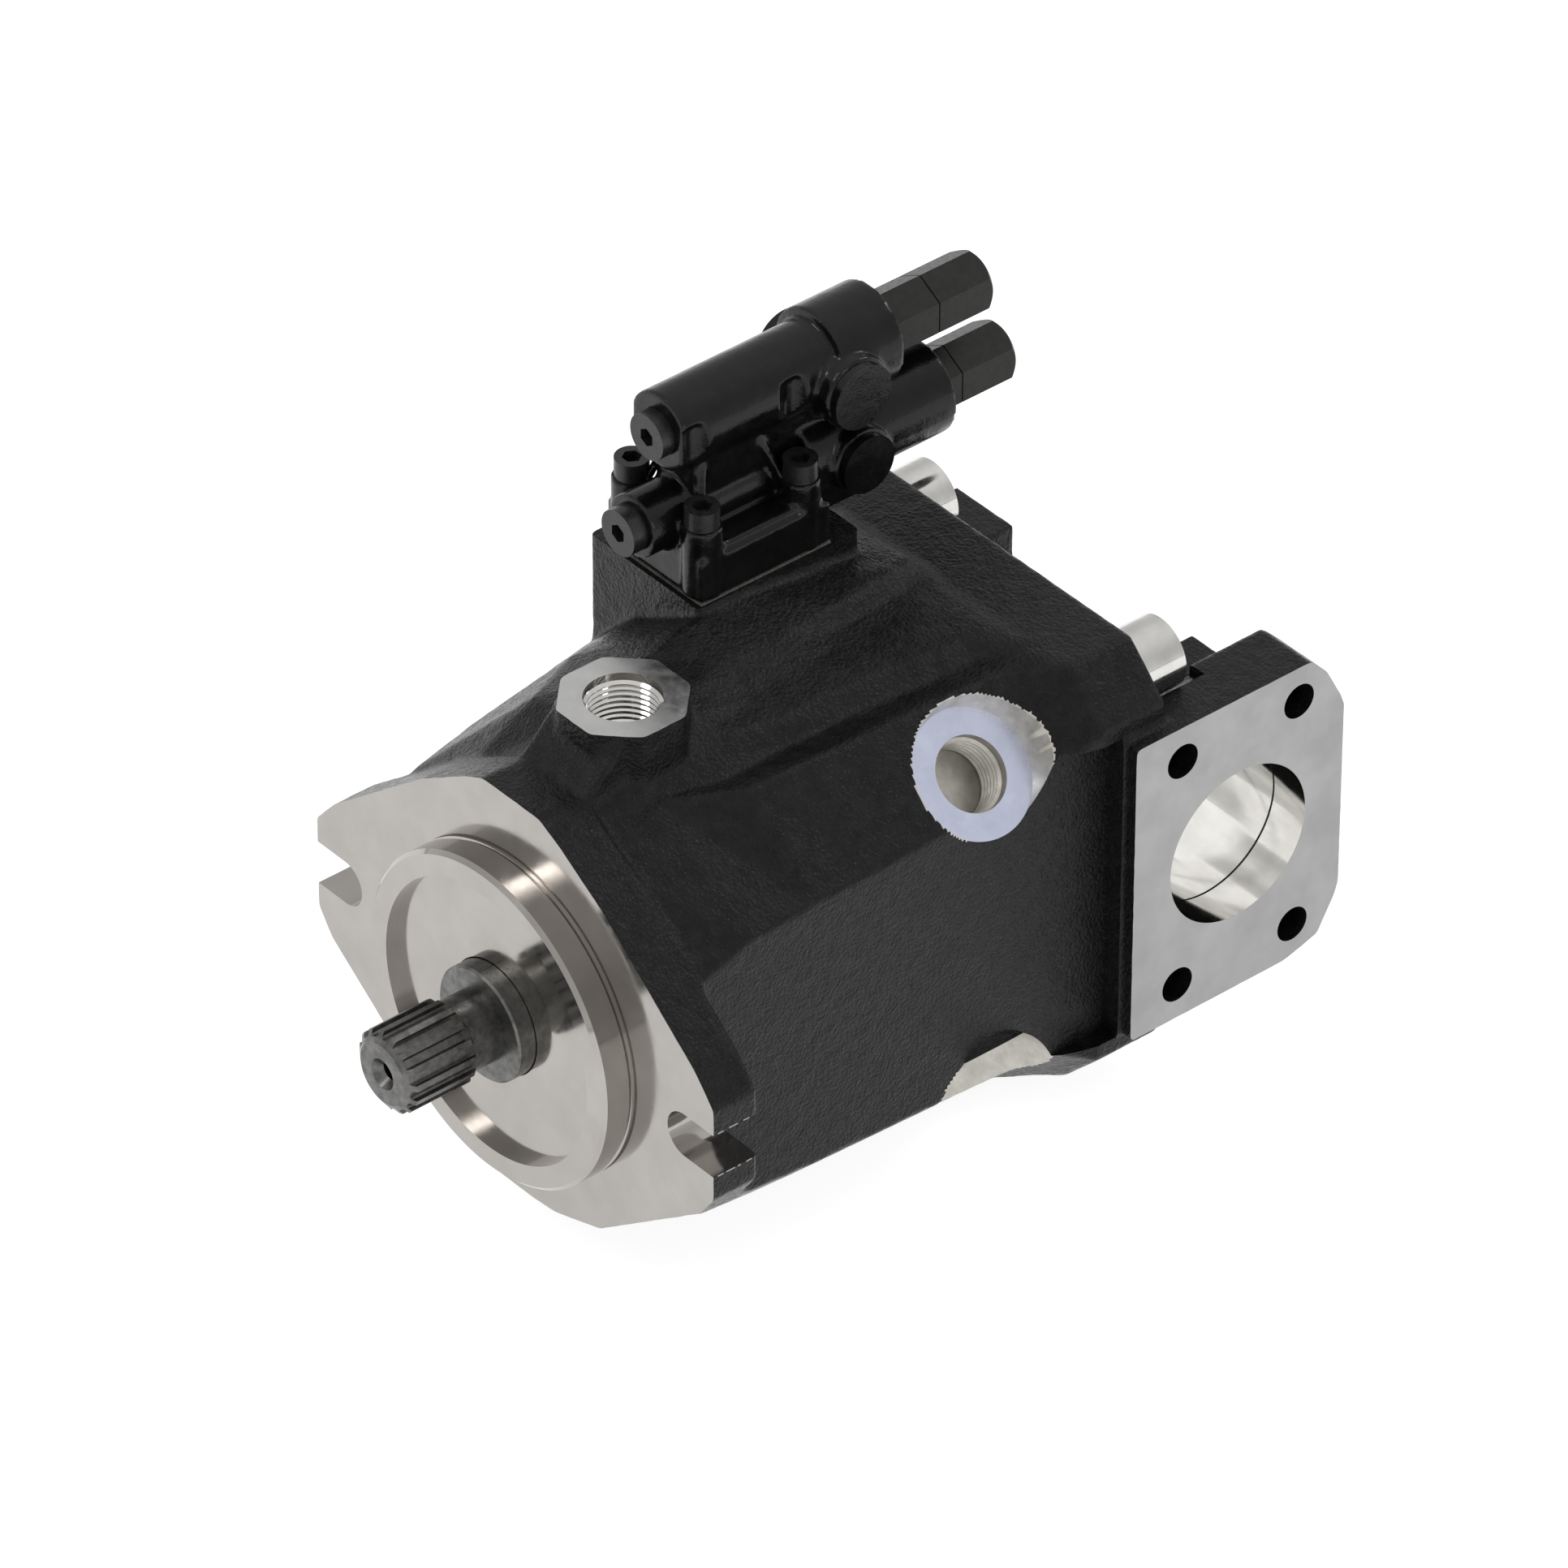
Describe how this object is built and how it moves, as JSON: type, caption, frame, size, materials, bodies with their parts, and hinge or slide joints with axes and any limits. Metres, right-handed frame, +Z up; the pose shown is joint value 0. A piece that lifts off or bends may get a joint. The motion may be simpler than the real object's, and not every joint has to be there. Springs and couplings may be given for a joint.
{
  "type": "axial piston pump",
  "caption": "Variable-displacement axial piston pump with a two-bolt mounting flange, splined shaft, side ports and a two-spool control valve on top.",
  "frame": {"origin": "centre of the mounting-flange face, on the shaft axis, at the foot of the pilot", "axes": "-Y out of the shaft end, +Y into the pump body, +X to the suction port, -X to the pressure port, +Z up to the control valve"},
  "size_m": [0.1704, 0.285, 0.2235],
  "materials": {
    "painted_casting": "black paint over a rough sand casting",
    "machined_steel": "fine machined face",
    "shaft_steel": "dark ground and hobbed steel",
    "zinc_steel": "bright plated steel",
    "valve_black": "glossy black paint",
    "plug_black": "black oxide",
    "adjuster_dark": "dark olive-black plated steel",
    "bearing_steel": "ground steel",
    "spring_steel": "oiled spring steel",
    "bronze": "machined bronze",
    "seal_rubber": "moulded rubber",
    "gasket_fibre": "fibre gasket"
  },
  "bodies": {
    "housing": {"bias_spring": "spring_steel", "control_sleeve": "bearing_steel", "cover_bolts": "zinc_steel", "cradle_bearing_left": "bronze", "cradle_bearing_right": "bronze", "end_cover": "painted_casting", "far_side_plug": "valve_black", "front_bearing_cup": "bearing_steel", "lower_adjuster_body": "adjuster_dark", "lower_cap_nut": "adjuster_dark", "lower_end_plug": "plug_black", "lower_side_plug": "valve_black", "lower_spring": "spring_steel", "pump_housing": "painted_casting", "rear_bearing_cup": "bearing_steel", "seal_carrier": "machined_steel", "shaft_seal": "seal_rubber", "upper_adjuster_body": "adjuster_dark", "upper_cap_nut": "adjuster_dark", "upper_end_plug": "plug_black", "upper_side_plug": "valve_black", "upper_spring": "spring_steel", "valve_body": "valve_black", "valve_gasket": "gasket_fibre", "valve_plate": "bronze", "valve_screws": "plug_black"},
    "rotating_group": {"drive_shaft": "shaft_steel", "cylinder_block": "bearing_steel", "block_spring": "spring_steel", "retainer_guide": "bearing_steel", "hold_down_pins": "bearing_steel", "front_bearing_cone": "bearing_steel", "rear_bearing_cone": "bearing_steel"},
    "swash_plate": {"cradle": "bearing_steel"},
    "retainer": {"retainer_plate": "bearing_steel"},
    "stroking_piston": {"control_piston": "bearing_steel"},
    "bias_piston": {"bias_seat": "bearing_steel"},
    "lower_spool_body": {"lower_spool": "bearing_steel"},
    "upper_spool_body": {"upper_spool": "bearing_steel"},
    "lower_screw_body": {"lower_adjusting_screw": "bearing_steel"},
    "upper_screw_body": {"upper_adjusting_screw": "bearing_steel"},
    "slipper_body_1": {"slipper_1": "bronze"},
    "piston_body_1": {"piston_1": "bearing_steel"},
    "slipper_body_2": {"slipper_2": "bronze"},
    "piston_body_2": {"piston_2": "bearing_steel"},
    "slipper_body_3": {"slipper_3": "bronze"},
    "piston_body_3": {"piston_3": "bearing_steel"},
    "slipper_body_4": {"slipper_4": "bronze"},
    "piston_body_4": {"piston_4": "bearing_steel"},
    "slipper_body_5": {"slipper_5": "bronze"},
    "piston_body_5": {"piston_5": "bearing_steel"},
    "slipper_body_6": {"slipper_6": "bronze"},
    "piston_body_6": {"piston_6": "bearing_steel"},
    "slipper_body_7": {"slipper_7": "bronze"},
    "piston_body_7": {"piston_7": "bearing_steel"},
    "slipper_body_8": {"slipper_8": "bronze"},
    "piston_body_8": {"piston_8": "bearing_steel"},
    "slipper_body_9": {"slipper_9": "bronze"},
    "piston_body_9": {"piston_9": "bearing_steel"}
  },
  "joints": [
    {"name": "shaft_spin", "type": "hinge", "parent": "housing", "child": "rotating_group", "pos_m": [0, 0, 0], "axis": [0, 1, 0], "continuous": true},
    {"name": "cradle_tilt", "type": "hinge", "parent": "housing", "child": "swash_plate", "pos_m": [0, 0.078, 0], "axis": [-1, 0, 0], "range_deg": [0, 18]},
    {"name": "retainer_spin", "type": "hinge", "parent": "swash_plate", "child": "retainer", "pos_m": [0, 0.078, 0], "axis": [0, 1, 0], "continuous": true},
    {"name": "stroking_slide", "type": "slide", "parent": "housing", "child": "stroking_piston", "axis": [0, 1, 0], "range_m": [0, 0.0195]},
    {"name": "bias_slide", "type": "slide", "parent": "housing", "child": "bias_piston", "axis": [0, -1, 0], "range_m": [0, 0.0195]},
    {"name": "lower_spool_slide", "type": "slide", "parent": "housing", "child": "lower_spool_body", "axis": [0, 1, 0], "range_m": [0, 0.003]},
    {"name": "upper_spool_slide", "type": "slide", "parent": "housing", "child": "upper_spool_body", "axis": [0, 1, 0], "range_m": [0, 0.003]},
    {"name": "lower_screw_travel", "type": "slide", "parent": "housing", "child": "lower_screw_body", "axis": [0, 1, 0], "range_m": [-0.002, 0.0015]},
    {"name": "upper_screw_travel", "type": "slide", "parent": "housing", "child": "upper_screw_body", "axis": [0, 1, 0], "range_m": [-0.002, 0.0015]},
    {"name": "slipper_1_turn", "type": "hinge", "parent": "retainer", "child": "slipper_body_1", "pos_m": [0, 0.078, 0.03997], "axis": [0, 1, 0], "continuous": true},
    {"name": "piston_1_ball", "type": "hinge", "parent": "slipper_body_1", "child": "piston_body_1", "pos_m": [0, 0.078, 0.03997], "axis": [-1, 0, 0], "range_deg": [-18, 0]},
    {"name": "slipper_2_turn", "type": "hinge", "parent": "retainer", "child": "slipper_body_2", "pos_m": [-0.0257, 0.078, 0.03062], "axis": [0, 1, 0], "continuous": true},
    {"name": "piston_2_ball", "type": "hinge", "parent": "slipper_body_2", "child": "piston_body_2", "pos_m": [-0.0257, 0.078, 0.03062], "axis": [-1, 0, 0], "range_deg": [-18, 0]},
    {"name": "slipper_3_turn", "type": "hinge", "parent": "retainer", "child": "slipper_body_3", "pos_m": [-0.03937, 0.078, 0.00694], "axis": [0, 1, 0], "continuous": true},
    {"name": "piston_3_ball", "type": "hinge", "parent": "slipper_body_3", "child": "piston_body_3", "pos_m": [-0.03937, 0.078, 0.00694], "axis": [-1, 0, 0], "range_deg": [-18, 0]},
    {"name": "slipper_4_turn", "type": "hinge", "parent": "retainer", "child": "slipper_body_4", "pos_m": [-0.03462, 0.078, -0.01999], "axis": [0, 1, 0], "continuous": true},
    {"name": "piston_4_ball", "type": "hinge", "parent": "slipper_body_4", "child": "piston_body_4", "pos_m": [-0.03462, 0.078, -0.01999], "axis": [-1, 0, 0], "range_deg": [-18, 0]},
    {"name": "slipper_5_turn", "type": "hinge", "parent": "retainer", "child": "slipper_body_5", "pos_m": [-0.01367, 0.078, -0.03756], "axis": [0, 1, 0], "continuous": true},
    {"name": "piston_5_ball", "type": "hinge", "parent": "slipper_body_5", "child": "piston_body_5", "pos_m": [-0.01367, 0.078, -0.03756], "axis": [-1, 0, 0], "range_deg": [-18, 0]},
    {"name": "slipper_6_turn", "type": "hinge", "parent": "retainer", "child": "slipper_body_6", "pos_m": [0.01367, 0.078, -0.03756], "axis": [0, 1, 0], "continuous": true},
    {"name": "piston_6_ball", "type": "hinge", "parent": "slipper_body_6", "child": "piston_body_6", "pos_m": [0.01367, 0.078, -0.03756], "axis": [-1, 0, 0], "range_deg": [-18, 0]},
    {"name": "slipper_7_turn", "type": "hinge", "parent": "retainer", "child": "slipper_body_7", "pos_m": [0.03462, 0.078, -0.01999], "axis": [0, 1, 0], "continuous": true},
    {"name": "piston_7_ball", "type": "hinge", "parent": "slipper_body_7", "child": "piston_body_7", "pos_m": [0.03462, 0.078, -0.01999], "axis": [-1, 0, 0], "range_deg": [-18, 0]},
    {"name": "slipper_8_turn", "type": "hinge", "parent": "retainer", "child": "slipper_body_8", "pos_m": [0.03937, 0.078, 0.00694], "axis": [0, 1, 0], "continuous": true},
    {"name": "piston_8_ball", "type": "hinge", "parent": "slipper_body_8", "child": "piston_body_8", "pos_m": [0.03937, 0.078, 0.00694], "axis": [-1, 0, 0], "range_deg": [-18, 0]},
    {"name": "slipper_9_turn", "type": "hinge", "parent": "retainer", "child": "slipper_body_9", "pos_m": [0.0257, 0.078, 0.03062], "axis": [0, 1, 0], "continuous": true},
    {"name": "piston_9_ball", "type": "hinge", "parent": "slipper_body_9", "child": "piston_body_9", "pos_m": [0.0257, 0.078, 0.03062], "axis": [-1, 0, 0], "range_deg": [-18, 0]}
  ],
  "couplings": [
    {"joint": "retainer_spin", "follows": "shaft_spin", "ratio": 1},
    {"joint": "stroking_slide", "follows": "cradle_tilt", "m_per_rad": 0.0605},
    {"joint": "bias_slide", "follows": "cradle_tilt", "m_per_rad": 0.06},
    {"joint": "slipper_1_turn", "follows": "shaft_spin", "ratio": -1},
    {"joint": "piston_1_ball", "follows": "cradle_tilt", "ratio": -1},
    {"joint": "slipper_2_turn", "follows": "shaft_spin", "ratio": -1},
    {"joint": "piston_2_ball", "follows": "cradle_tilt", "ratio": -1},
    {"joint": "slipper_3_turn", "follows": "shaft_spin", "ratio": -1},
    {"joint": "piston_3_ball", "follows": "cradle_tilt", "ratio": -1},
    {"joint": "slipper_4_turn", "follows": "shaft_spin", "ratio": -1},
    {"joint": "piston_4_ball", "follows": "cradle_tilt", "ratio": -1},
    {"joint": "slipper_5_turn", "follows": "shaft_spin", "ratio": -1},
    {"joint": "piston_5_ball", "follows": "cradle_tilt", "ratio": -1},
    {"joint": "slipper_6_turn", "follows": "shaft_spin", "ratio": -1},
    {"joint": "piston_6_ball", "follows": "cradle_tilt", "ratio": -1},
    {"joint": "slipper_7_turn", "follows": "shaft_spin", "ratio": -1},
    {"joint": "piston_7_ball", "follows": "cradle_tilt", "ratio": -1},
    {"joint": "slipper_8_turn", "follows": "shaft_spin", "ratio": -1},
    {"joint": "piston_8_ball", "follows": "cradle_tilt", "ratio": -1},
    {"joint": "slipper_9_turn", "follows": "shaft_spin", "ratio": -1},
    {"joint": "piston_9_ball", "follows": "cradle_tilt", "ratio": -1}
  ]
}
